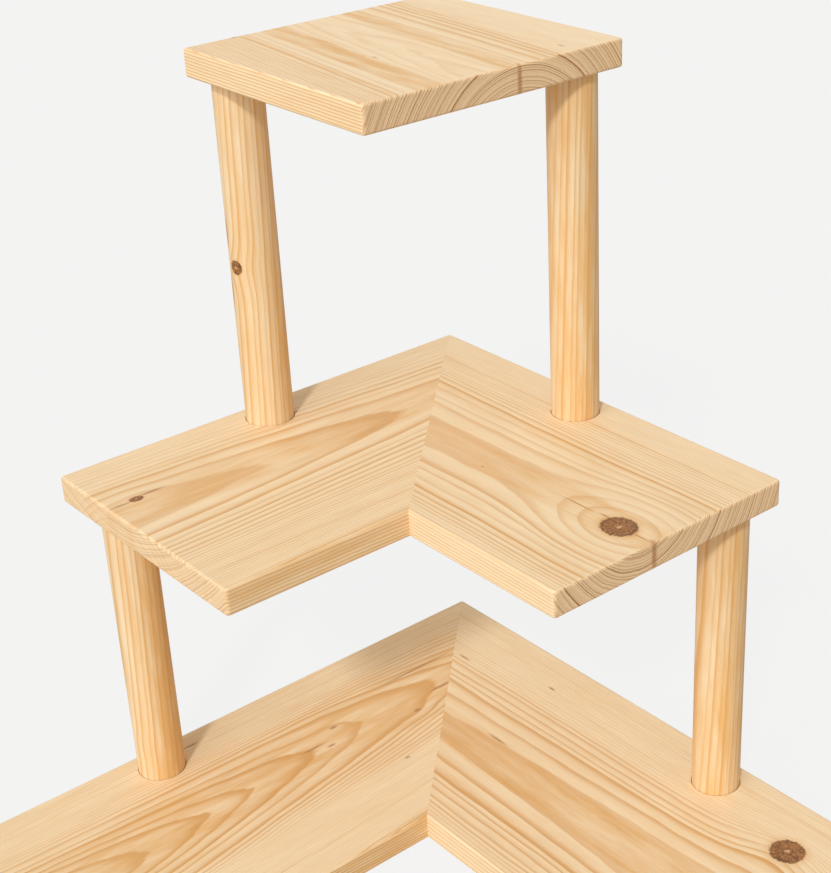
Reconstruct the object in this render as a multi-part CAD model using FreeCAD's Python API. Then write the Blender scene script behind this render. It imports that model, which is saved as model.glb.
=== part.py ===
"""Three-tier corner plant stand in solid pine.

Two L-shaped shelves, each mitred from two boards, and a square top board climb
out of a wall corner in steps. Each step stands on two round posts. A post's foot
drops into a blind socket in the shelf below and is held by a countersunk screw
from underneath; its head carries a hanger bolt that turns into an insert nut in
the board above, so no fastener shows on a top face. Loose biscuits key each mitre.

Axes: the outer back corner of all tiers is one vertical line. The left arms run
from it along -Y and the right arms along +X, with +Z up. The origin is on the
floor, at the middle of the bottom shelf's square footprint.
"""

import FreeCAD, Part
import math
import os

# ---------------------------------------------------------------- tiers
board_thickness = 19.0
shelf_width = 200.0          # width of each arm of the two L shelves
bottom_arm = 474.0           # outer corner to arm end, both arms alike
middle_left_arm = 338.0
middle_right_arm = 336.0
top_length = 191.0           # along the grain, parallel to the right arms
top_width = 209.0            # across the grain, parallel to the left arms
plan_corner_radius = 3.0     # rounding of the upright corner edges
arris_radius = 2.0           # easing of the long edges, top and bottom

# ---------------------------------------------------------------- posts
post_diameter = 34.0
upper_post_length = 250.0
lower_post_length = 230.0
left_post_setback = 22.5     # post axis to the wall-side edge
right_post_setback = 25.0
upper_left_end_inset = 25.0  # post axis to the free end that it stands by
upper_right_end_inset = 22.5
lower_left_end_inset = 33.0
lower_right_end_inset = 26.0

# ---------------------------------------------------------------- sockets for the post feet
socket_depth = 6.0
socket_clearance = 0.5       # radial gap, seen as a thin dark ring

# ---------------------------------------------------------------- foot screws, countersunk from below
screw_diameter = 5.0
screw_length = 50.0
screw_head_diameter = 9.6
screw_point_length = 7.0
screw_point_diameter = 1.0
screw_head_sink = 0.5        # how far the head lies below the board's surface
screw_hole_clearance = 0.3   # radial, in the board
cross_recess_span = 4.6
cross_recess_width = 1.0
cross_recess_depth = 1.8
thread_play = 0.05           # radial, between a thread's crests and its hole
pilot_margin = 1.0           # air beyond the point of a screw or bolt

# ---------------------------------------------------------------- hanger bolts and insert nuts, at the post heads
bolt_diameter = 8.0
bolt_wood_length = 40.0      # below the joint face, in the post
bolt_nut_length = 11.0       # above the joint face, in the board
bolt_point_length = 9.0
bolt_point_diameter = 1.5
insert_diameter = 12.0
insert_length = 13.0
insert_hex_flats = 10.0      # drive recess at the mouth
insert_hex_depth = 3.0
insert_bore_margin = 0.6     # air above the insert in its blind bore

# ---------------------------------------------------------------- biscuits in the mitres
biscuit_length = 56.0
biscuit_width = 23.0
biscuit_thickness = 4.0
biscuit_tip = 5.0            # width of its blunt ends
biscuit_count = 3
biscuit_pitch = 80.0
biscuit_play = 0.1           # above and below, in the slot
slot_cutter_radius = 50.0
slot_extra_depth = 0.8       # beyond half the biscuit's width

# ---------------------------------------------------------------- levels and places worked out from these
bottom_top_z = board_thickness
middle_top_z = bottom_top_z + lower_post_length - socket_depth + board_thickness
top_top_z = middle_top_z + upper_post_length - socket_depth + board_thickness
corner_x = -bottom_arm / 2
corner_y = bottom_arm / 2
post_radius = post_diameter / 2
UP = FreeCAD.Vector(0, 0, 1)


def at(right, forward, z):
    """A point given by its distances from the outer back corner."""
    return FreeCAD.Vector(corner_x + right, corner_y - forward, z)


# Each post: the point on its axis at the face of the shelf that it stands on, and its length.
POSTS = {
    "upper_post_left": (
        at(left_post_setback, top_width - upper_left_end_inset, middle_top_z),
        upper_post_length,
    ),
    "upper_post_right": (
        at(top_length - upper_right_end_inset, right_post_setback, middle_top_z),
        upper_post_length,
    ),
    "lower_post_left": (
        at(left_post_setback, middle_left_arm - lower_left_end_inset, bottom_top_z),
        lower_post_length,
    ),
    "lower_post_right": (
        at(middle_right_arm - lower_right_end_inset, right_post_setback, bottom_top_z),
        lower_post_length,
    ),
}


def rounded_outline(corners):
    """A closed wire through plan corners (point, radius), with an arc at each rounded one."""
    count = len(corners)
    starts, ends, middles = [], [], []
    for i, (point, radius) in enumerate(corners):
        back = (corners[i - 1][0] - point).normalize()
        on = (corners[(i + 1) % count][0] - point).normalize()
        starts.append(point + back * radius)
        ends.append(point + on * radius)
        middles.append(point + (back + on) * (radius * (1 - math.sqrt(0.5))))
    edges = []
    for i, (point, radius) in enumerate(corners):
        if radius > 0:
            edges.append(Part.Arc(starts[i], middles[i], ends[i]).toShape())
        edges.append(Part.LineSegment(ends[i], starts[(i + 1) % count]).toShape())
    return Part.Wire(edges)


def eased_board(corners, top_z):
    """A board with the given plan, its upper face at top_z and its long edges eased."""
    face = Part.Face(rounded_outline(corners))
    blank = face.extrude(UP * -board_thickness)
    levels = (top_z, top_z - board_thickness)
    long_edges = [
        edge
        for edge in blank.Edges
        if edge.BoundBox.ZLength < 1e-6 and any(abs(edge.BoundBox.ZMin - z) < 1e-6 for z in levels)
    ]
    return blank.makeFillet(arris_radius, long_edges)


def l_shelf_blank(left_arm, right_arm, top_z):
    """An L shelf before it is parted along its mitre. The inner corner stays crisp."""
    r = plan_corner_radius
    corners = [
        (at(0, 0, top_z), r),
        (at(right_arm, 0, top_z), r),
        (at(right_arm, shelf_width, top_z), r),
        (at(shelf_width, shelf_width, top_z), 0),
        (at(shelf_width, left_arm, top_z), r),
        (at(0, left_arm, top_z), r),
    ]
    return eased_board(corners, top_z)


def mitre_half(blank, top_z, toward_left):
    """The part of an L blank on one side of the plane through its outer and inner corners."""
    reach = 2 * bottom_arm
    behind, before = at(-reach, -reach, top_z), at(reach, reach, top_z)
    aside = at(-reach, reach, top_z) if toward_left else at(reach, -reach, top_z)
    triangle = Part.Face(Part.makePolygon([behind, before, aside, behind]))
    return blank.common(triangle.extrude(UP * -board_thickness))


def mitre_frame(top_z, along):
    """A placement on the mitre's glue line: X along it, Y across it, Z up, at mid-thickness."""
    centre = at(shelf_width / 2, shelf_width / 2, top_z - board_thickness / 2)
    direction = FreeCAD.Vector(1, -1, 0).normalize()
    turn = FreeCAD.Rotation(UP, -45)
    return FreeCAD.Placement(centre + direction * along, turn)


def biscuit_places(top_z):
    """Where the biscuits of one mitre lie, evenly spread about its middle."""
    first = -(biscuit_count - 1) / 2
    return [mitre_frame(top_z, (first + i) * biscuit_pitch) for i in range(biscuit_count)]


def biscuit():
    """A pressed beech biscuit: two shallow arcs with blunt tips."""
    end, tip, half = biscuit_length / 2, biscuit_tip / 2, biscuit_width / 2
    p = FreeCAD.Vector
    outline = Part.Wire([
        Part.Arc(p(-end, -tip, 0), p(0, -half, 0), p(end, -tip, 0)).toShape(),
        Part.LineSegment(p(end, -tip, 0), p(end, tip, 0)).toShape(),
        Part.Arc(p(end, tip, 0), p(0, half, 0), p(-end, tip, 0)).toShape(),
        Part.LineSegment(p(-end, tip, 0), p(-end, -tip, 0)).toShape(),
    ])
    plate = Part.Face(outline).extrude(UP * biscuit_thickness)
    plate.translate(UP * (-biscuit_thickness / 2))
    return plate


def slot_cutter(side):
    """The disc that a biscuit jointer sweeps into the board on one side of the glue line."""
    thickness = biscuit_thickness + 2 * biscuit_play
    depth = biscuit_width / 2 + slot_extra_depth
    centre = FreeCAD.Vector(0, side * (depth - slot_cutter_radius), -thickness / 2)
    return Part.makeCylinder(slot_cutter_radius, thickness, centre, UP)


def upright(point):
    """A placement at a point, without a turn."""
    return FreeCAD.Placement(point, FreeCAD.Rotation())


def placed(shape, placement):
    """A copy of a shape moved to a placement."""
    copy = shape.copy()
    copy.Placement = placement.multiply(shape.Placement)
    return copy


def socket_cutters(foot):
    """What is bored for one post foot: the socket, the screw's way through and its countersink."""
    underside = foot - UP * board_thickness
    hole = screw_diameter / 2 + screw_hole_clearance
    mouth = screw_head_diameter / 2 + screw_head_sink
    return [
        Part.makeCylinder(post_radius + socket_clearance, socket_depth, foot - UP * socket_depth, UP),
        Part.makeCylinder(hole, board_thickness, underside, UP),
        Part.makeCone(mouth, hole, mouth - hole, underside, UP),
    ]


def insert_bore(head):
    """The blind bore in a board's underside, over one post head."""
    radius = insert_diameter / 2 + thread_play
    return Part.makeCylinder(radius, insert_length + insert_bore_margin, head, UP)


def revolved(profile):
    """A solid turned about Z from (radius, height) points, closed along the axis."""
    points = [FreeCAD.Vector(radius, 0, z) for radius, z in profile]
    wire = Part.makePolygon(points + [points[0]])
    return Part.Face(wire).revolve(FreeCAD.Vector(0, 0, 0), UP, 360)


def polygon(sides, radius, z):
    """A regular polygon about the Z axis, closed, with its corners on a circle."""
    turn = 2 * math.pi / sides
    corners = [
        FreeCAD.Vector(radius * math.cos(i * turn), radius * math.sin(i * turn), z)
        for i in range(sides)
    ]
    return Part.makePolygon(corners + [corners[0]])


def ground_point(radius, end_radius, root_z, end_z):
    """The point of a screw, ground to eight flats that narrow from root_z to end_z."""
    outlines = [polygon(8, radius, root_z), polygon(8, end_radius, end_z)]
    return Part.makeLoft(outlines, True, True)


def foot_screw():
    """A countersunk wood screw, point up, with the face of its head at Z = 0."""
    radius, head = screw_diameter / 2, screw_head_diameter / 2
    root = screw_length - screw_point_length
    shank = revolved([(0, 0), (head, 0), (radius, head - radius), (radius, root), (0, root)])
    body = shank.fuse(ground_point(radius, screw_point_diameter / 2, root, screw_length))
    recess = [
        Part.makeBox(span_x, span_y, cross_recess_depth, FreeCAD.Vector(-span_x / 2, -span_y / 2, 0))
        for span_x, span_y in (
            (cross_recess_span, cross_recess_width),
            (cross_recess_width, cross_recess_span),
        )
    ]
    return body.cut(recess)


def hanger_bolt():
    """A hanger bolt with the joint face at Z = 0: point down in the post, machine end up."""
    radius = bolt_diameter / 2
    root = bolt_point_length - bolt_wood_length
    rod = Part.makeCylinder(radius, bolt_nut_length - root, UP * root, UP)
    return rod.fuse(ground_point(radius, bolt_point_diameter / 2, root, -bolt_wood_length))


def insert_nut():
    """An insert nut with its mouth at Z = 0: a sleeve with a hexagonal drive recess."""
    sleeve = Part.makeCylinder(insert_diameter / 2, insert_length)
    bore = Part.makeCylinder(bolt_diameter / 2 + thread_play, insert_length)
    hexagon = polygon(6, insert_hex_flats / 2 / math.cos(math.pi / 6), 0)
    recess = Part.Face(hexagon).extrude(UP * insert_hex_depth)
    return sleeve.cut([bore, recess])


def post(foot, length):
    """A turned post, bored up its foot for the screw and down its head for the hanger bolt."""
    base = foot - UP * socket_depth
    screw_reach = screw_length + screw_head_sink - (board_thickness - socket_depth) + pilot_margin
    bolt_reach = bolt_wood_length + pilot_margin
    bolt_base = base + UP * (length - bolt_reach)
    screw_hole = Part.makeCylinder(screw_diameter / 2 + thread_play, screw_reach, base, UP)
    bolt_hole = Part.makeCylinder(bolt_diameter / 2 + thread_play, bolt_reach, bolt_base, UP)
    return Part.makeCylinder(post_radius, length, base, UP).cut([screw_hole, bolt_hole])


def post_head(name):
    """The point at the middle of a post's upper face."""
    foot, length = POSTS[name]
    return foot + UP * (length - socket_depth)


def shelf_pair(left_arm, right_arm, top_z, feet, heads):
    """Both boards of an L shelf, slotted for biscuits and bored for the posts that meet it."""
    blank = l_shelf_blank(left_arm, right_arm, top_z)
    bores = [cutter for name in feet for cutter in socket_cutters(POSTS[name][0])]
    bores += [insert_bore(post_head(name)) for name in heads]
    blank = blank.cut(bores)
    halves = []
    for toward_left in (True, False):
        side = -1 if toward_left else 1
        slots = [placed(slot_cutter(side), place) for place in biscuit_places(top_z)]
        halves.append(mitre_half(blank, top_z, toward_left).cut(slots))
    return halves


def top_board():
    """The top board, bored underneath for the insert nuts of the upper posts."""
    r = plan_corner_radius
    corners = [
        (at(0, 0, top_top_z), r),
        (at(top_length, 0, top_top_z), r),
        (at(top_length, top_width, top_top_z), r),
        (at(0, top_width, top_top_z), r),
    ]
    heads = ("upper_post_left", "upper_post_right")
    return eased_board(corners, top_top_z).cut([insert_bore(post_head(name)) for name in heads])


bottom_left, bottom_right = shelf_pair(
    bottom_arm, bottom_arm, bottom_top_z, ("lower_post_left", "lower_post_right"), ()
)
middle_left, middle_right = shelf_pair(
    middle_left_arm,
    middle_right_arm,
    middle_top_z,
    ("upper_post_left", "upper_post_right"),
    ("lower_post_left", "lower_post_right"),
)

pieces = {
    "bottom_shelf_left": [bottom_left],
    "bottom_shelf_right": [bottom_right],
    "middle_shelf_left": [middle_left],
    "middle_shelf_right": [middle_right],
    "top_board": [top_board()],
    "foot_screws": [
        placed(foot_screw(), upright(foot - UP * (board_thickness - screw_head_sink)))
        for foot, length in POSTS.values()
    ],
    "hanger_bolts": [placed(hanger_bolt(), upright(post_head(name))) for name in POSTS],
    "insert_nuts": [placed(insert_nut(), upright(post_head(name))) for name in POSTS],
    "mitre_biscuits": [
        placed(biscuit(), place)
        for top_z in (bottom_top_z, middle_top_z)
        for place in biscuit_places(top_z)
    ],
}
for name, (foot, length) in POSTS.items():
    pieces[name] = [post(foot, length)]

os.makedirs("parts", exist_ok=True)
for name, solids in pieces.items():
    shape = solids[0] if len(solids) == 1 else Part.makeCompound(solids)
    shape.exportStep(f"parts/{name}.step")
    print(name, "solids", len(shape.Solids), "valid", shape.isValid(), "volume", round(shape.Volume))
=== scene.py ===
import math
import bpy
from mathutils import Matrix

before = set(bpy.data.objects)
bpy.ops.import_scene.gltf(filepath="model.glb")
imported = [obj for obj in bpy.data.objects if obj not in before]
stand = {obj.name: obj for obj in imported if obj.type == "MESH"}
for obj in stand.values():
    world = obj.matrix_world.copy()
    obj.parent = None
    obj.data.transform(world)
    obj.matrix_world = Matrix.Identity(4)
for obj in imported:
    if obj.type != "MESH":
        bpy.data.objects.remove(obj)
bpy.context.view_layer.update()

# ---------------------------------------------------------------- the camera
# A portrait lens about a metre from the stand, above its front corner, so that both arms
# of each shelf are seen from above and the open corner faces the lens. The shift sets the
# stand a little to one side of the picture's middle.
camera = bpy.data.objects.new("camera", bpy.data.cameras.new("camera"))
bpy.context.scene.collection.objects.link(camera)
camera.location = (0.7403, -0.5434, 0.7984)
camera.rotation_euler = (math.radians(63.3428), math.radians(1.6847), math.radians(48.8643))
camera.data.sensor_width = 36.0
camera.data.lens = 72.02
camera.data.shift_x = -0.0974
bpy.context.scene.camera = camera
bpy.context.scene.view_settings.view_transform = "Standard"


# ------------------------------------------------------------ floor and light
# A studio floor of pale matt paint, rolled on, that runs off into a backdrop of its own
# colour. It has no gloss, so the stand leaves only a faint, wide shadow around its foot.
def linear(colour):
    """An sRGB hex colour as the linear colour that a shader takes."""
    parts = [int(colour[i:i + 2], 16) / 255 for i in (1, 3, 5)]
    return [c / 12.92 if c <= 0.04045 else ((c + 0.055) / 1.055) ** 2.4 for c in parts] + [1.0]


def add(tree, kind, inputs=(), **settings):
    """Adds a node with its settings, and sets or links its inputs."""
    node = tree.nodes.new("ShaderNode" + kind)
    for name, value in settings.items():
        setattr(node, name, value)
    for socket, value in dict(inputs).items():
        if isinstance(value, bpy.types.Node):
            value = value.outputs[0]
        if isinstance(value, bpy.types.NodeSocket):
            tree.links.new(value, node.inputs[socket])
        else:
            node.inputs[socket].default_value = value
    return node


floor_half = 6          # metres from the stand to the edge of the floor, beyond any view
floor_drop = 0.0005     # metres, so that the floor and the bottom shelf don't share a plane
wash_share = 0.92       # part of the floor's look that is its own plain colour, the rest takes shadow
skin = 0.003            # metres: light that meets the floor so soon comes from under the stand

floor_mesh = bpy.data.meshes.new("studio_floor")
floor_mesh.from_pydata([(x * floor_half, y * floor_half, 0) for x, y in ((-1, -1), (1, -1), (1, 1), (-1, 1))],
                       [], [(0, 1, 2, 3)])
floor = bpy.data.objects.new("studio_floor", floor_mesh)
bpy.context.scene.collection.objects.link(floor)
floor.location.z = -floor_drop
matt_paint = bpy.data.materials.new("matt_floor_paint")
matt_paint.use_nodes = True
tree = matt_paint.node_tree
tree.nodes.clear()
paint = add(tree, "BsdfDiffuse", {"Color": linear("#C6C4C0")})
wash = add(tree, "Emission", {"Color": linear("#F7F7F7"), "Strength": 1.0})
seen = add(tree, "LightPath")
share = add(tree, "Math", {0: seen.outputs["Is Camera Ray"], 1: wash_share}, operation="MULTIPLY")
mixed = add(tree, "MixShader", {"Fac": share, 1: paint, 2: wash})
# looked at from beneath the floor is clear, so that the screws under the stand can be seen
side = add(tree, "NewGeometry")
touch = add(tree, "Math", {0: seen.outputs["Ray Length"], 1: skin}, operation="LESS_THAN")
clear = add(tree, "Math", {0: side.outputs["Backfacing"], 1: touch}, operation="MAXIMUM")
mixed = add(tree, "MixShader", {"Fac": clear, 1: mixed, 2: add(tree, "BsdfTransparent")})
add(tree, "OutputMaterial", {"Surface": mixed})
floor_mesh.materials.append(matt_paint)

# the room gives a warm, even light, and the lens and polished metal see its pale grey wall
world = bpy.data.worlds.new("studio")
bpy.context.scene.world = world
world.use_nodes = True
tree = world.node_tree
tree.nodes.clear()
room = add(tree, "Background", {"Color": linear("#FFF5E9"), "Strength": 0.54})
wall = add(tree, "Background", {"Color": linear("#F4F4F4"), "Strength": 1.0})
seen = add(tree, "LightPath")
share = add(tree, "Math", {0: seen.outputs["Is Camera Ray"], 1: seen.outputs["Is Glossy Ray"]}, operation="MAXIMUM")
mixed = add(tree, "MixShader", {"Fac": share, 1: room, 2: wall})
add(tree, "OutputWorld", {"Surface": mixed})

# a window a little to the left of the lens throws the boards' shadows over the post tops and
# the posts' over the boards, and a wide low light from the left fills the sides that face it
# (name, strength, and in degrees how wide it looks, its height over the floor, its bearing)
for name, energy, width, height, bearing in (("window_light", 1.5, 6, 40, 36.0),
                                             ("soft_box", 0.95, 35, 24, 8.0)):
    lamp = bpy.data.lights.new(name, "SUN")
    lamp.energy = energy
    lamp.angle = math.radians(width)
    light = bpy.data.objects.new(name, lamp)
    bpy.context.scene.collection.objects.link(light)
    light.rotation_euler = (math.radians(90 - height), 0.0, math.radians(bearing))

# ------------------------------------------------------------ the bottom shelf
# Two arms of solid pine, planed to 19 mm and rounded over at the arrises, then mitred at
# the corner into an L. It carries the whole stand and lies flat on the floor.
mm = 1000                   # millimetres in a metre: the patterns are drawn in millimetres
FROM, TO, BLEND = 6, 7, 2   # a Mix node's sockets for its two colours, and its output for colour


def pine(name, grain, heart, lean, ends, years, stripes, sawn=(0, 0, 2.2, 1.0), planed=(2.4, 0.0),
         knots=(), seed=0.0, ring=2.2, wander=(3.0, 1.6), pale="#F8E3BF"):
    """Planed and clear-oiled pine. Each year of growth has soft cream early wood and hard amber
    late wood, so a board shows fine straight lines where it cuts the years square and wide flames
    where it only grazes them. The eye gets those lines, a few brown knots, darker end grain, and a
    low sheen that is a little stronger on the late wood. Lengths are in mm, taken along the grain,
    across the board and through its depth.
    grain: the axis that the grain runs along.
    heart: where the tree's centre line passes (across, depth), and lean: how it runs off per mm.
    ends: radii at which the marked years end; years: how strong the late wood of each is.
    stripes: (across, honey, contrast) from one edge of the board to the other; on the posts the honey also holds
    painted shade.
    sawn: where the rings of the sawn end centre, their spacing, and how brown that end is.
    planed: the spacing and strength of the lines along the board's narrow edges.
    knots: (place, half width, push on the rings, reach of the push, length to width).
    seed: the board's own luck; ring: the width of a year that isn't marked.
    wander: how far the rings stray over a hand's length, and over a thumb's.
    pale: the colour of the early wood."""
    wood = bpy.data.materials.new(name)
    wood.use_nodes = True
    tree = wood.node_tree
    tree.nodes.clear()
    place = add(tree, "TexCoord")
    turn, flip, along, sideways = {"x": ((0, 0, 0), 1, (1, 0, 0), (0, 1, 0)),
                                   "y": ((0, 0, -math.pi / 2), -1, (0, 1, 0), (1, 0, 0)),
                                   "z": ((0, math.pi / 2, 0), -1, (0, 0, 1), (0, 1, 0))}[grain]
    board = add(tree, "Mapping", {"Vector": place.outputs["Object"], "Rotation": turn,
                                  "Scale": (mm * flip, mm, mm)})

    # a trunk is never straight: the rings wander over a hand's length, and waver over a thumb's
    far, near = wander
    bend = add(tree, "VectorMath", {0: board, 1: (1 / 190, 1 / 55, 1 / 55), 2: (seed, seed, seed)},
               operation="MULTIPLY_ADD")
    bend = add(tree, "TexNoise", {"Vector": bend, "Scale": 1.0, "Detail": 1.0, "Roughness": 0.4})
    bend = add(tree, "VectorMath", {0: bend.outputs["Color"], 1: (0, 2 * far, far), 2: (0, -far, -far / 2)},
               operation="MULTIPLY_ADD")
    waver = add(tree, "VectorMath", {0: board, 1: (1 / 42, 1 / 9, 1 / 9)}, operation="MULTIPLY")
    waver = add(tree, "TexNoise", {"Vector": waver, "Scale": 1.0, "Detail": 2.0, "Roughness": 0.5})
    waver = add(tree, "VectorMath", {0: waver.outputs["Color"], 1: (0, near, near), 2: (0, -near / 2, -near / 2)},
                operation="MULTIPLY_ADD")
    moved = add(tree, "VectorMath", {0: board, 1: bend}, operation="ADD")
    moved = add(tree, "VectorMath", {0: moved, 1: waver}, operation="ADD")
    split = add(tree, "SeparateXYZ", {0: moved})
    across = add(tree, "Math", {0: split.outputs["X"], 1: -lean[0], 2: split.outputs["Y"]},
                 operation="MULTIPLY_ADD")
    depth = add(tree, "Math", {0: split.outputs["X"], 1: -lean[1], 2: split.outputs["Z"]},
                operation="MULTIPLY_ADD")
    arm = add(tree, "CombineXYZ", {"Y": across, "Z": depth})
    arm = add(tree, "VectorMath", {0: arm, 1: (0, *heart)}, operation="SUBTRACT")
    radius = add(tree, "VectorMath", {0: arm}, operation="LENGTH").outputs["Value"]

    # a branch pushes the years outwards round itself, and its own end shows as a knot; it goes
    # through a board from face to face, but soon runs out at the side of a post
    through = 0.7 if grain == "z" else 0.14
    nearest = {}
    for at, size, push, reach, long in knots:
        off = add(tree, "VectorMath", {0: board, 1: at}, operation="SUBTRACT")
        if push:
            bulge = add(tree, "VectorMath", {0: off, 1: (0.8 / reach, 1 / reach, 0.2 / reach)}, operation="MULTIPLY")
            bulge = add(tree, "VectorMath", {0: bulge, 1: bulge}, operation="DOT_PRODUCT")
            bulge = add(tree, "Math", {0: bulge.outputs["Value"], 1: -1.0}, operation="MULTIPLY")
            bulge = add(tree, "Math", {0: bulge}, operation="EXPONENT")
            radius = add(tree, "Math", {0: bulge, 1: -push, 2: radius}, operation="MULTIPLY_ADD")
        gap = add(tree, "VectorMath", {0: off, 1: (1 / (long * size), 1 / size, through / size)},
                  operation="MULTIPLY")
        gap = add(tree, "VectorMath", {0: gap}, operation="LENGTH").outputs["Value"]
        group = "knot" if size > 2 else "pin"
        if group in nearest:
            gap = add(tree, "Math", {0: nearest[group], 1: gap}, operation="MINIMUM")
        nearest[group] = gap

    # radius to a count of years: the marked years by their ends, plain even years outside them
    low, high = ends[0], ends[-1]
    first_year = 20.0       # what the marked years are counted from, so that no count is negative
    inner = add(tree, "Math", {0: radius, 1: low}, operation="SUBTRACT")
    inner = add(tree, "Math", {0: inner, 1: 0.0}, operation="MINIMUM")
    outer = add(tree, "Math", {0: radius, 1: high}, operation="SUBTRACT")
    outer = add(tree, "Math", {0: outer, 1: 0.0}, operation="MAXIMUM")
    plain = add(tree, "Math", {0: inner, 1: outer}, operation="ADD")
    marked = add(tree, "MapRange", {"Value": radius, "From Min": low, "From Max": high})
    marked = add(tree, "ValToRGB", {"Fac": marked})
    stops = marked.color_ramp.elements
    for k, end in enumerate(ends):
        spot = (end - low) / (high - low)
        stop = stops[0] if spot == 0 else stops[-1] if spot == 1 else stops.new(spot)
        stop.color = [k / (len(ends) - 1)] * 3 + [1]
    marked = add(tree, "Math", {0: marked.outputs["Color"], 1: len(ends) - 1.0, 2: first_year},
                 operation="MULTIPLY_ADD")
    year = add(tree, "Math", {0: plain, 1: 1 / ring, 2: marked}, operation="MULTIPLY_ADD")
    count = add(tree, "Math", {0: year}, operation="FLOOR")
    season = add(tree, "Math", {0: year}, operation="FRACT")

    # from spring to autumn the wood darkens slowly, and it ends sharply with the winter
    late = add(tree, "ValToRGB", {"Fac": season})
    stops = late.color_ramp.elements
    stops[1].color = (0, 0, 0, 1)
    for spot, level in ((0.02, 0.0), (0.34, 0.05), (0.6, 0.3), (0.82, 0.9), (0.94, 1.0)):
        stops.new(spot).color = (level, level, level, 1)

    # the marked years have their own strength, the rest are left to luck
    luck = add(tree, "Math", {0: count, 1: seed}, operation="ADD")
    luck = add(tree, "TexWhiteNoise", {"W": luck}, noise_dimensions="1D")
    luck = add(tree, "MapRange", {"Value": luck.outputs["Value"], "To Min": 0.35, "To Max": 0.95})
    steps = len(years) + 2  # one for each marked year, and one for the years on either side
    rank = add(tree, "MapRange", {"Value": count, "From Min": first_year - 1.5,
                                  "From Max": first_year - 1.5 + steps})
    rank = add(tree, "ValToRGB", {"Fac": rank})
    rank.color_ramp.interpolation = "CONSTANT"
    stops = rank.color_ramp.elements
    stops[0].color = (0, 0, 0, 0)
    stops[1].color = (0, 0, 0, 1)
    for k, level in enumerate((*years, 0)):
        stops.new((k + 1) / steps).color = (level, level, level, 1)
    strength = add(tree, "Math", {0: rank.outputs["Color"], 1: luck}, operation="MAXIMUM")

    # honey streaks and the places where the lines fade, from edge to edge of the board; on a post the honey is also
    # painted shade on the side away from the window light
    first, last = stripes[0][0], stripes[-1][0]
    strip = add(tree, "MapRange", {"Value": across, "From Min": first, "From Max": last})
    strip = add(tree, "ValToRGB", {"Fac": strip})
    stops = strip.color_ramp.elements
    for at, honey, contrast in stripes:
        spot = (at - first) / (last - first)
        stop = stops[0] if spot == 0 else stops[-1] if spot == 1 else stops.new(spot)
        stop.color = (honey, contrast, 0, 1)
    strip = add(tree, "SeparateColor", {0: strip.outputs["Color"]})
    late = add(tree, "Math", {0: late.outputs["Color"], 1: strength}, operation="MULTIPLY")
    amber = add(tree, "Math", {0: late, 1: strip.outputs["Green"]}, operation="MULTIPLY")

    # on the narrow edges the same years run the length of the board as long even lines
    narrow = add(tree, "VectorMath", {0: place.outputs["Normal"], 1: sideways}, operation="DOT_PRODUCT")
    narrow = add(tree, "Math", {0: narrow.outputs["Value"]}, operation="ABSOLUTE")
    narrow = add(tree, "MapRange", {"Value": narrow, "From Min": 0.5, "From Max": 0.8,
                                    "To Max": float(planed[1] > 0)})
    line = add(tree, "Math", {0: split.outputs["X"], 1: 0.008, 2: split.outputs["Z"]}, operation="MULTIPLY_ADD")
    line = add(tree, "Math", {0: line, 1: 1 / planed[0]}, operation="MULTIPLY")
    line = add(tree, "Math", {0: line}, operation="FRACT")
    line = add(tree, "MapRange", {"Value": line, "From Min": 0.25, "From Max": 0.9, "To Max": planed[1]},
               interpolation_type="SMOOTHSTEP")
    amber = add(tree, "Mix", {"Factor": narrow, "A": amber, "B": line})

    # the stain of the honey streaks is cloudy, and a haze of it lies over the whole board
    cloud = add(tree, "VectorMath", {0: board, 1: (1 / 60, 1 / 8, 1 / 8), 2: (seed, 0, seed)},
                operation="MULTIPLY_ADD")
    cloud = add(tree, "TexNoise", {"Vector": cloud, "Scale": 1.0, "Detail": 3.0, "Roughness": 0.6})
    honey = add(tree, "MapRange", {"Value": cloud, "From Min": 0.3, "From Max": 0.7, "To Min": 0.4, "To Max": 1.5})
    honey = add(tree, "Math", {0: honey, 1: strip.outputs["Red"]}, operation="MULTIPLY")
    haze = add(tree, "MapRange", {"Value": cloud, "From Min": 0.35, "From Max": 0.75, "To Max": 0.2})
    honey = add(tree, "Math", {0: honey, 1: haze}, operation="ADD", use_clamp=True)
    colour = add(tree, "Mix", {"Factor": honey, FROM: linear(pale), TO: linear("#E6BA7E")}, data_type="RGBA")
    colour = add(tree, "Mix", {"Factor": amber, FROM: colour.outputs[BLEND], TO: linear("#DAA560")},
                 data_type="RGBA")

    # single fibres: streaks a third of a millimetre wide, drawn at 0.7 mm so that they show
    fibre = add(tree, "VectorMath", {0: board, 1: (1 / 26, 1 / 0.7, 1 / 0.7)}, operation="MULTIPLY")
    fibre = add(tree, "TexNoise", {"Vector": fibre, "Scale": 1.0, "Detail": 2.0, "Roughness": 0.6})
    streak = add(tree, "MapRange", {"Value": fibre, "From Min": 0.3, "From Max": 0.7, "To Min": 0.94, "To Max": 1.04})
    colour = add(tree, "VectorMath", {0: colour.outputs[BLEND], "Scale": streak}, operation="SCALE")

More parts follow.
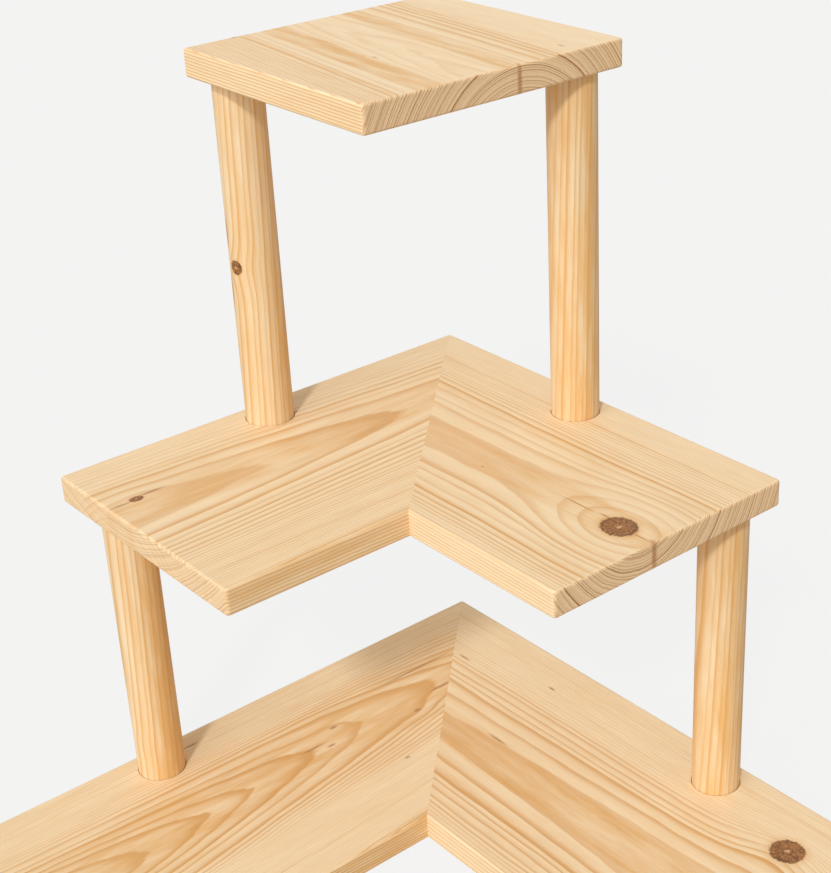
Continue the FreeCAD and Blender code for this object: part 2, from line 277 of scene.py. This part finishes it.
    # sawn across, the open fibre ends drink more oil and the same years are browner
    cut = add(tree, "VectorMath", {0: place.outputs["Normal"], 1: along}, operation="DOT_PRODUCT")
    cut = add(tree, "Math", {0: cut.outputs["Value"]}, operation="ABSOLUTE")
    cut = add(tree, "MapRange", {"Value": cut, "From Min": 0.4, "From Max": 0.9}, interpolation_type="SMOOTHSTEP")
    sawn_across, sawn_depth, sawn_ring, sawn_brown = sawn
    arm = add(tree, "VectorMath", {0: moved, 1: (0, sawn_across, sawn_depth)}, operation="SUBTRACT")
    arm = add(tree, "VectorMath", {0: arm, 1: (0, 1, 1)}, operation="MULTIPLY")
    arm = add(tree, "VectorMath", {0: arm}, operation="LENGTH")
    arm = add(tree, "Math", {0: arm.outputs["Value"], 1: 1 / sawn_ring}, operation="MULTIPLY")
    uneven = add(tree, "TexNoise", {"W": arm, "Scale": 0.45, "Detail": 2.0}, noise_dimensions="1D")
    arc = add(tree, "Math", {0: uneven, 1: 2.0, 2: arm}, operation="MULTIPLY_ADD")
    arc = add(tree, "Math", {0: arc}, operation="FRACT")
    arc = add(tree, "MapRange", {"Value": arc, "From Min": 0.35, "From Max": 0.95}, interpolation_type="SMOOTHSTEP")
    uneven = add(tree, "MapRange", {"Value": uneven, "From Min": 0.35, "From Max": 0.7, "To Min": 0.25})
    arc = add(tree, "Math", {0: arc, 1: uneven}, operation="MULTIPLY")
    pore = add(tree, "MapRange", {"Value": fibre, "From Min": 0.35, "From Max": 0.7, "To Min": -0.12, "To Max": 0.2})
    arc = add(tree, "Math", {0: arc, 1: pore}, operation="ADD", use_clamp=True)
    brown = add(tree, "Mix", {"Factor": arc, FROM: linear("#EFD0A6"), TO: linear("#A46F3A")}, data_type="RGBA")
    cut = add(tree, "Math", {0: cut, 1: sawn_brown}, operation="MULTIPLY")
    colour = add(tree, "Mix", {"Factor": cut, FROM: colour, TO: brown.outputs[BLEND]}, data_type="RGBA")

    # pins are soft brown streaks, where a twig or a little resin was planed through
    speck = add(tree, "TexNoise", {"Vector": board, "Scale": 0.5, "Detail": 4.0, "Roughness": 0.75})
    ragged = add(tree, "MapRange", {"Value": speck, "From Min": 0.3, "From Max": 0.7, "To Min": -0.14, "To Max": 0.14})
    if "pin" in nearest:
        pin = add(tree, "Math", {0: nearest["pin"], 1: ragged}, operation="ADD")
        pin = add(tree, "MapRange", {"Value": pin, "From Min": 0.4, "From Max": 1.6, "To Min": 0.75, "To Max": 0.0})
        colour = add(tree, "Mix", {"Factor": pin, FROM: colour.outputs[BLEND], TO: linear("#A8713C")},
                     data_type="RGBA")
    # a knot has a pale core in speckled brown wood, a rim of dark bark round part of it, and
    # honey wood about it where the resin has gathered
    if "knot" in nearest:
        knot = add(tree, "Math", {0: nearest["knot"], 1: ragged}, operation="ADD")
        grit = add(tree, "MapRange", {"Value": speck, "From Min": 0.42, "From Max": 0.6, "To Max": 0.9})
        bark = add(tree, "Mix", {"Factor": grit, FROM: linear("#AD7847"), TO: linear("#633F23")}, data_type="RGBA")
        core = add(tree, "MapRange", {"Value": knot, "From Min": 0.08, "From Max": 0.22, "To Min": 0.9, "To Max": 0.0})
        bark = add(tree, "Mix", {"Factor": core, FROM: bark.outputs[BLEND], TO: linear("#DDB07C")},
                   data_type="RGBA")
        part = add(tree, "TexNoise", {"Vector": board, "Scale": 0.12, "Detail": 1.0})
        part = add(tree, "MapRange", {"Value": part, "From Min": 0.42, "From Max": 0.55, "To Min": 0.2, "To Max": 0.9})
        rim = add(tree, "MapRange", {"Value": knot, "From Min": 0.78, "From Max": 0.97})
        rim = add(tree, "Math", {0: rim, 1: part}, operation="MULTIPLY")
        bark = add(tree, "Mix", {"Factor": rim, FROM: bark.outputs[BLEND], TO: linear("#5E3A1F")},
                   data_type="RGBA")
        inside = add(tree, "MapRange", {"Value": knot, "From Min": 0.97, "From Max": 1.06,
                                        "To Min": 1.0, "To Max": 0.0})
        halo = add(tree, "MapRange", {"Value": knot, "From Min": 1.0, "From Max": 1.5, "To Min": 0.5, "To Max": 0.0})
        colour = add(tree, "Mix", {"Factor": halo, FROM: colour.outputs[BLEND], TO: linear("#E0B070")},
                     data_type="RGBA")
        colour = add(tree, "Mix", {"Factor": inside, FROM: colour.outputs[BLEND], TO: bark.outputs[BLEND]},
                     data_type="RGBA")

    # planing leaves the hard late wood smoother and a tenth of a millimetre proud
    rough = add(tree, "MapRange", {"Value": late, "To Min": 0.56, "To Max": 0.42})
    relief = add(tree, "Math", {0: late, 1: 0.6, 2: fibre}, operation="MULTIPLY_ADD")
    bump = add(tree, "Bump", {"Height": relief, "Strength": 0.6, "Distance": 0.1 / mm})
    shader = add(tree, "BsdfPrincipled", {"Base Color": colour.outputs[BLEND], "Roughness": rough, "Normal": bump,
                                          "IOR": 1.46, "Specular IOR Level": 0.4})
    add(tree, "OutputMaterial", {"Surface": shader})
    return wood


stand["bottom_shelf_left"].material_slots[0].material = pine(
    "planed_pine_bottom_left", "y", heart=(-150, -61), lean=(-0.07, -0.05), seed=4.4, wander=(3.0, 1.1),
    sawn=(-150, 120, 2.2, 0.4), planed=(2.4, 0.8),
    ends=(66.0, 68.5, 71.5, 73.8, 76.1, 77.9, 81.0, 83.4, 87.4, 89.5, 91.2, 92.9, 94.5, 96.3, 98.0, 99.8,
          101.5, 103.2),
    years=(0.5, 0.6, 0.7, 0.9, 0.9, 1.0, 0.7, 0.7, 1.0, 0.75, 0.8, 0.75, 0.85, 0.7, 0.8, 0.6, 0.5),
    stripes=((-237, 0.15, 0.4), (-205, 0.15, 0.45), (-190, 0.25, 1.0), (-178, 0.5, 1.0), (-140, 0.6, 1.0),
             (-125, 0.35, 1.0), (-108, 0.15, 1.0), (-100, 0.1, 0.7), (-92, 0.05, 0.2), (-64, 0.05, 0.15),
             (-62, 0.2, 0.8), (-60, 0.05, 0.15), (-42, 0.05, 0.25), (-38.5, 0.5, 1.0), (-37, 0.5, 1.0)),
    knots=(((51, -166, 19), 1.3, 0.6, 9, 2.2), ((37, -149, 19), 1.1, 0.5, 8, 3.0),
           ((111, -140, 19), 1.5, 0.8, 10, 1.8), ((25, -155, 19), 1.0, 0, 8, 8.0),
           ((69, -99, 19), 1.0, 0, 6, 2.0), ((145, -184, 19), 0.9, 0, 6, 30.0),
           ((145, -152, 19), 1.3, 0, 6, 8.0), ((-40, -221, 19), 1.0, 0, 6, 6.0)))
stand["bottom_shelf_right"].material_slots[0].material = pine(
    "planed_pine_bottom_right", "x", heart=(115, -61), lean=(0.0, 0.01), seed=5.6, wander=(2.0, 1.3),
    sawn=(110, -40, 2.2, 1.0), planed=(3.6, 0.5),
    ends=(66.0, 69.5, 73.0, 77.0, 82.2, 86.5, 91.7, 94.0, 97.2, 101.4, 103.8, 106.0),
    years=(0.5, 0.5, 0.6, 0.7, 0.9, 1.0, 0.75, 0.5, 0.7, 0.95, 0.5),
    stripes=((37, 0.05, 0.7), (55, 0.05, 0.9), (66, 0.1, 1.0), (80, 0.1, 0.9), (96, 0.0, 0.8),
             (100, 0.6, 0.9), (112, 0.4, 0.8), (130, 0.55, 0.8), (134, 0.05, 0.7), (150, 0.1, 0.8),
             (176, 0.1, 1.0), (184, 0.05, 0.5), (219, 0.05, 0.45), (221, 0.25, 0.9), (223, 0.05, 0.45),
             (237, 0.05, 0.45)),
    knots=(((157.5, 190.5, 19), 11.5, 9, 30, 1.05), ((-90, 204, 19), 1.0, 0, 6, 3.0),
           ((-70, 131, 19), 0.9, 0, 6, 9.0), ((-170, 183, 19), 0.9, 0, 6, 6.0),
           ((160, 196, 19), 1.1, 0, 6, 3.0)))

# ------------------------------------------------------------ the middle shelf
# The same L with shorter arms, drawn down on the bolts of the two lower posts. Its boards
# are cut from the side of the tree, so a wide amber flame runs down the middle of each.
stand["middle_shelf_left"].material_slots[0].material = pine(
    "planed_pine_middle_left", "y", heart=(-156, 194), lean=(0.0, -0.0306), seed=2.1, wander=(2.0, 1.3),
    sawn=(-165, 375, 2.3, 0.6), planed=(2.5, 0.7),
    ends=(54.0, 57.5, 60.8, 68.1, 72.4, 77.4, 80.6, 83.6, 86.9, 90.3, 93.5, 96.3),
    years=(0.4, 0.55, 0.5, 0.85, 0.9, 0.5, 0.95, 0.85, 0.85, 0.75, 0.7),
    stripes=((-237, 0.1, 0.4), (-206, 0.05, 0.45), (-200, 0.2, 1.0), (-180, 0.1, 0.8), (-172, 0.4, 1.0),
             (-145, 0.5, 1.0), (-138, 0.0, 0.9), (-110, 0.05, 1.0), (-90, 0.05, 0.85), (-61, 0.0, 0.7),
             (-59, 0.3, 1.0), (-57, 0.0, 0.7), (-42, 0.05, 0.75), (-38.5, 0.4, 1.0), (-37, 0.4, 1.0)),
    knots=(((-80, -173, 262), 3.3, 2.5, 14, 1.5), ((69.9, -207.3, 262), 0.9, 0, 6, 2.0),
           ((-92, -172, 262), 0.9, 0, 6, 9.0), ((-68, -175, 262), 1.2, 0, 6, 7.0)))
stand["middle_shelf_right"].material_slots[0].material = pine(
    "planed_pine_middle_right", "x", heart=(119, 332), lean=(0.0, 0.0), seed=3.2, wander=(2.0, 1.3),
    sawn=(113, 296, 2.2, 1.0), planed=(2.4, 0.5),
    ends=(50.0, 55.0, 60.0, 65.5, 72.1, 77.4, 80.6, 86.0, 90.8, 94.5, 97.3),
    years=(0.35, 0.4, 0.45, 0.6, 0.9, 0.55, 0.4, 1.0, 0.85, 0.6),
    stripes=((37, 0.0, 0.7), (55, 0.05, 0.8), (62, 0.1, 1.0), (75, 0.05, 0.8), (95, 0.0, 0.8),
             (102, 0.0, 0.9), (110, 0.35, 0.8), (132, 0.45, 0.8), (137, 0.05, 0.6), (160, 0.05, 0.6),
             (170, 0.2, 1.0), (178, 0.1, 1.0), (185, 0.05, 0.7), (204, 0.05, 0.6), (206.5, 0.4, 1.0),
             (209, 0.05, 0.5), (237, 0.05, 0.4)),
    knots=(((70, 118.5, 262), 11.3, 17, 36, 1.1), ((31, 120.5, 262), 0.5, 0, 8, 24.0),
           ((88, 118.8, 262), 0.5, 0, 8, 16.0), ((-50, 110, 262), 0.6, 0, 5, 2.0),
           ((55, 122, 262), 0.9, 0, 8, 5.0), ((99, 120, 254), 1.9, 0, 6, 2.0)))

# ------------------------------------------------------------ the mitre biscuits
# Three oval biscuits of pressed beech in each mitre, glued in slots inside the boards.
# Beech pressed between rollers: pinkish tan with short brown flecks, dry and without oil.
beech = bpy.data.materials.new("pressed_beech_biscuit")
beech.use_nodes = True
tree = beech.node_tree
tree.nodes.clear()
place = add(tree, "TexCoord")
place = add(tree, "Mapping", {"Vector": place.outputs["Object"], "Rotation": (0, 0, math.pi / 4),
                              "Scale": (mm, mm, mm)})
# flecks 3 mm long and 0.6 mm wide, on a tone that drifts over about 7 mm
cells = add(tree, "VectorMath", {0: place, 1: (1 / 3.0, 1 / 0.6, 1 / 0.6)}, operation="MULTIPLY")
cells = add(tree, "TexVoronoi", {"Vector": cells, "Scale": 1.0})
fleck = add(tree, "MapRange", {"Value": cells.outputs["Distance"], "From Min": 0.12, "From Max": 0.3,
                               "To Min": 1.0, "To Max": 0.0})
tone = add(tree, "TexNoise", {"Vector": place, "Scale": 0.15, "Detail": 3.0, "Roughness": 0.6})
colour = add(tree, "Mix", {"Factor": tone, FROM: linear("#DDBD96"), TO: linear("#C69C70")}, data_type="RGBA")
colour = add(tree, "Mix", {"Factor": fleck, FROM: colour.outputs[BLEND], TO: linear("#9A6A43")}, data_type="RGBA")
rough = add(tree, "MapRange", {"Value": tone, "To Min": 0.6, "To Max": 0.8})
bump = add(tree, "Bump", {"Height": fleck, "Strength": 0.5, "Distance": 0.1 / mm})
shader = add(tree, "BsdfPrincipled", {"Base Color": colour.outputs[BLEND], "Roughness": rough, "Normal": bump,
                                      "IOR": 1.46})
add(tree, "OutputMaterial", {"Surface": shader})
stand["mitre_biscuits"].material_slots[0].material = beech

# ------------------------------------------------------------------ the posts
# Four round posts, turned to 34 mm from straight-grained pine and oiled like the boards.
# Each stands in a shallow socket, held by a screw from below and a bolt in its head.
# Turning cuts the years at every angle, so lines stand close on two sides and wide on two.
for post, across, depth, seed, honey_and_painted_shade, knots in (
        # its name, its middle across and in depth, its luck, honey from side to side (partly a streak in the wood,
        # partly painted shade on the +Y side), its knots
        ("lower_post_left", -68, -214.5, 8.0, (0.3, 0.4, 0.9, 0.9),
         (((49, -82, -224), 1.3, 0.8, 8, 2.5),)),
        ("lower_post_right", 212, 73, 9.0, (0.45, 0.7, 0.6, 0.7), ()),
        ("upper_post_left", 53, -214.5, 6.0, (0.35, 0.25, 0.6, 0.9),
         (((379, 36.2, -212), 3.6, 2.5, 12, 1.4), ((360, 37, -220.5), 1.4, 0, 6, 8.0),
          ((403, 37, -220.5), 1.3, 0, 6, 8.0))),
        ("upper_post_right", 212, -68.5, 7.4, (0.5, 0.9, 0.55, 0.7), ())):
    # the honey rises towards the +Y side of each post, the side turned away from the window light: partly a honey
    # streak in the wood, partly painted shade there
    stand[post].material_slots[0].material = pine(
        "turned_pine_" + post, "z", heart=(across + 34, depth + 26), lean=(0.022, 0.014), seed=seed,
        ring=3.1, wander=(1.6, 0.9), pale="#EDDCBB", knots=knots,
        ends=(20.0, 25.0, 28.0, 33.2, 36.5, 41.0, 43.0, 47.5, 50.5, 55.0, 58.0, 63.0),
        years=(0.7, 0.3, 0.9, 0.35, 0.8, 0.3, 1.0, 0.4, 0.8, 0.5, 0.9),
        stripes=tuple((across + side, honey, 0.9) for side, honey in zip((-17, -12, -5, 17), honey_and_painted_shade)))


# ---------------------------------------------------------------- the screws
# One countersunk steel screw goes up through the board into the foot of each post. Only
# their heads show, on the undersides of the two shelves, flush with the wood.
def zinc(name, bright, dull, spangle, rough):
    """Zinc, plated on rolled steel or cast. The eye gets a cool grey with a faint spangle, and dull
    specks where the driver and the wood have rubbed it.
    bright, dull: its two greys; spangle: the size of its crystals, mm; rough: (least, most)."""
    metal = bpy.data.materials.new(name)
    metal.use_nodes = True
    tree = metal.node_tree
    tree.nodes.clear()
    place = add(tree, "TexCoord")
    place = add(tree, "Mapping", {"Vector": place.outputs["Object"], "Scale": (mm, mm, mm)})
    grains = add(tree, "TexVoronoi", {"Vector": place, "Scale": 1 / spangle})
    shade = add(tree, "SeparateColor", {0: grains.outputs["Color"]})
    rubbed = add(tree, "TexNoise", {"Vector": place, "Scale": 0.6, "Detail": 5.0, "Roughness": 0.7})
    wear = add(tree, "MapRange", {"Value": rubbed, "From Min": 0.45, "From Max": 0.7})
    shade = add(tree, "Math", {0: shade, 1: 0.5, 2: wear}, operation="MULTIPLY_ADD", use_clamp=True)
    grey = add(tree, "Mix", {"Factor": shade, FROM: linear(bright), TO: linear(dull)}, data_type="RGBA")
    gloss = add(tree, "MapRange", {"Value": shade, "To Min": rough[0], "To Max": rough[1]})
    bump = add(tree, "Bump", {"Height": rubbed, "Strength": 0.5, "Distance": 0.05 / mm})
    shader = add(tree, "BsdfPrincipled", {"Base Color": grey.outputs[BLEND], "Metallic": 1.0,
                                          "Roughness": gloss, "Normal": bump})
    add(tree, "OutputMaterial", {"Surface": shader})
    return metal


stand["foot_screws"].material_slots[0].material = zinc("zinc_plated_screw", "#C9CDD2", "#9A9EA3", 0.5, (0.26, 0.46))

# -------------------------------------------- the hanger bolts and their inserts
# A plated bolt stands in the head of each post and turns into a threaded insert in a blind
# bore of the board above, so neither shows once the stand is built. The bolts are rolled
# and stay bright; the inserts are cast zinc, greyer and grainy.
stand["hanger_bolts"].material_slots[0].material = zinc("zinc_plated_bolt", "#C3C7CC", "#8E9297", 0.4, (0.3, 0.5))
stand["insert_nuts"].material_slots[0].material = zinc("cast_zinc_insert", "#B4B6B8", "#7F8183", 0.9, (0.42, 0.62))

# -------------------------------------------------------------- the top board
# One piece of pine, 191 mm along the grain, set on the upper posts last of all. It is cut
# over the middle of the tree, so its sawn end shows the rings as arches, and its face fine
# lines between amber bands.
stand["top_board"].material_slots[0].material = pine(
    "planed_pine_top_board", "x", heart=(111, 420), lean=(-0.1, 0.01), ring=1.6, seed=1.3, wander=(1.6, 0.8),
    sawn=(148, 460, 2.1, 1.0), planed=(2.1, 0.75),
    ends=(105.2, 106.0, 107.0, 108.2, 109.6, 112.5, 116.7, 120.0, 122.4, 124.6, 127.5, 129.0, 130.6, 132.0,
          133.5, 135.0, 136.7, 138.5, 140.2, 142.0, 144.0, 146.5),
    years=(0.35, 0.4, 0.35, 0.4, 0.4, 0.7, 0.8, 1.0, 0.75, 0.5, 0.6, 0.7, 0.5, 0.8, 0.6, 0.8, 0.6, 0.8, 0.7,
           0.8, 0.7),
    stripes=((14, 0.05, 0.8), (30, 0.1, 0.9), (39, 0.2, 1.0), (44, 0.1, 0.9), (48, 0.5, 1.0),
             (52, 0.0, 0.5), (62, 0.0, 0.3), (64, 0.6, 0.3), (82, 0.7, 0.3), (86, 0.05, 0.35),
             (90, 0.0, 0.5), (128, 0.05, 0.5), (133, 0.6, 0.5), (143, 0.6, 0.5), (146, 0.0, 0.6),
             (157, 0.1, 1.0), (178, 0.3, 1.0), (182, 0.1, 0.4), (196, 0.05, 0.15), (214, 0.0, 0.12)),
    knots=(((-239, 66, 525), 4.5, 1.5, 9, 1.1), ((-61, 196, 525), 0.9, 0, 6, 3.0),
           ((-125, 98, 525), 0.6, 0, 5, 4.0), ((-46, 148, 515), 1.6, 0, 6, 2.0)))
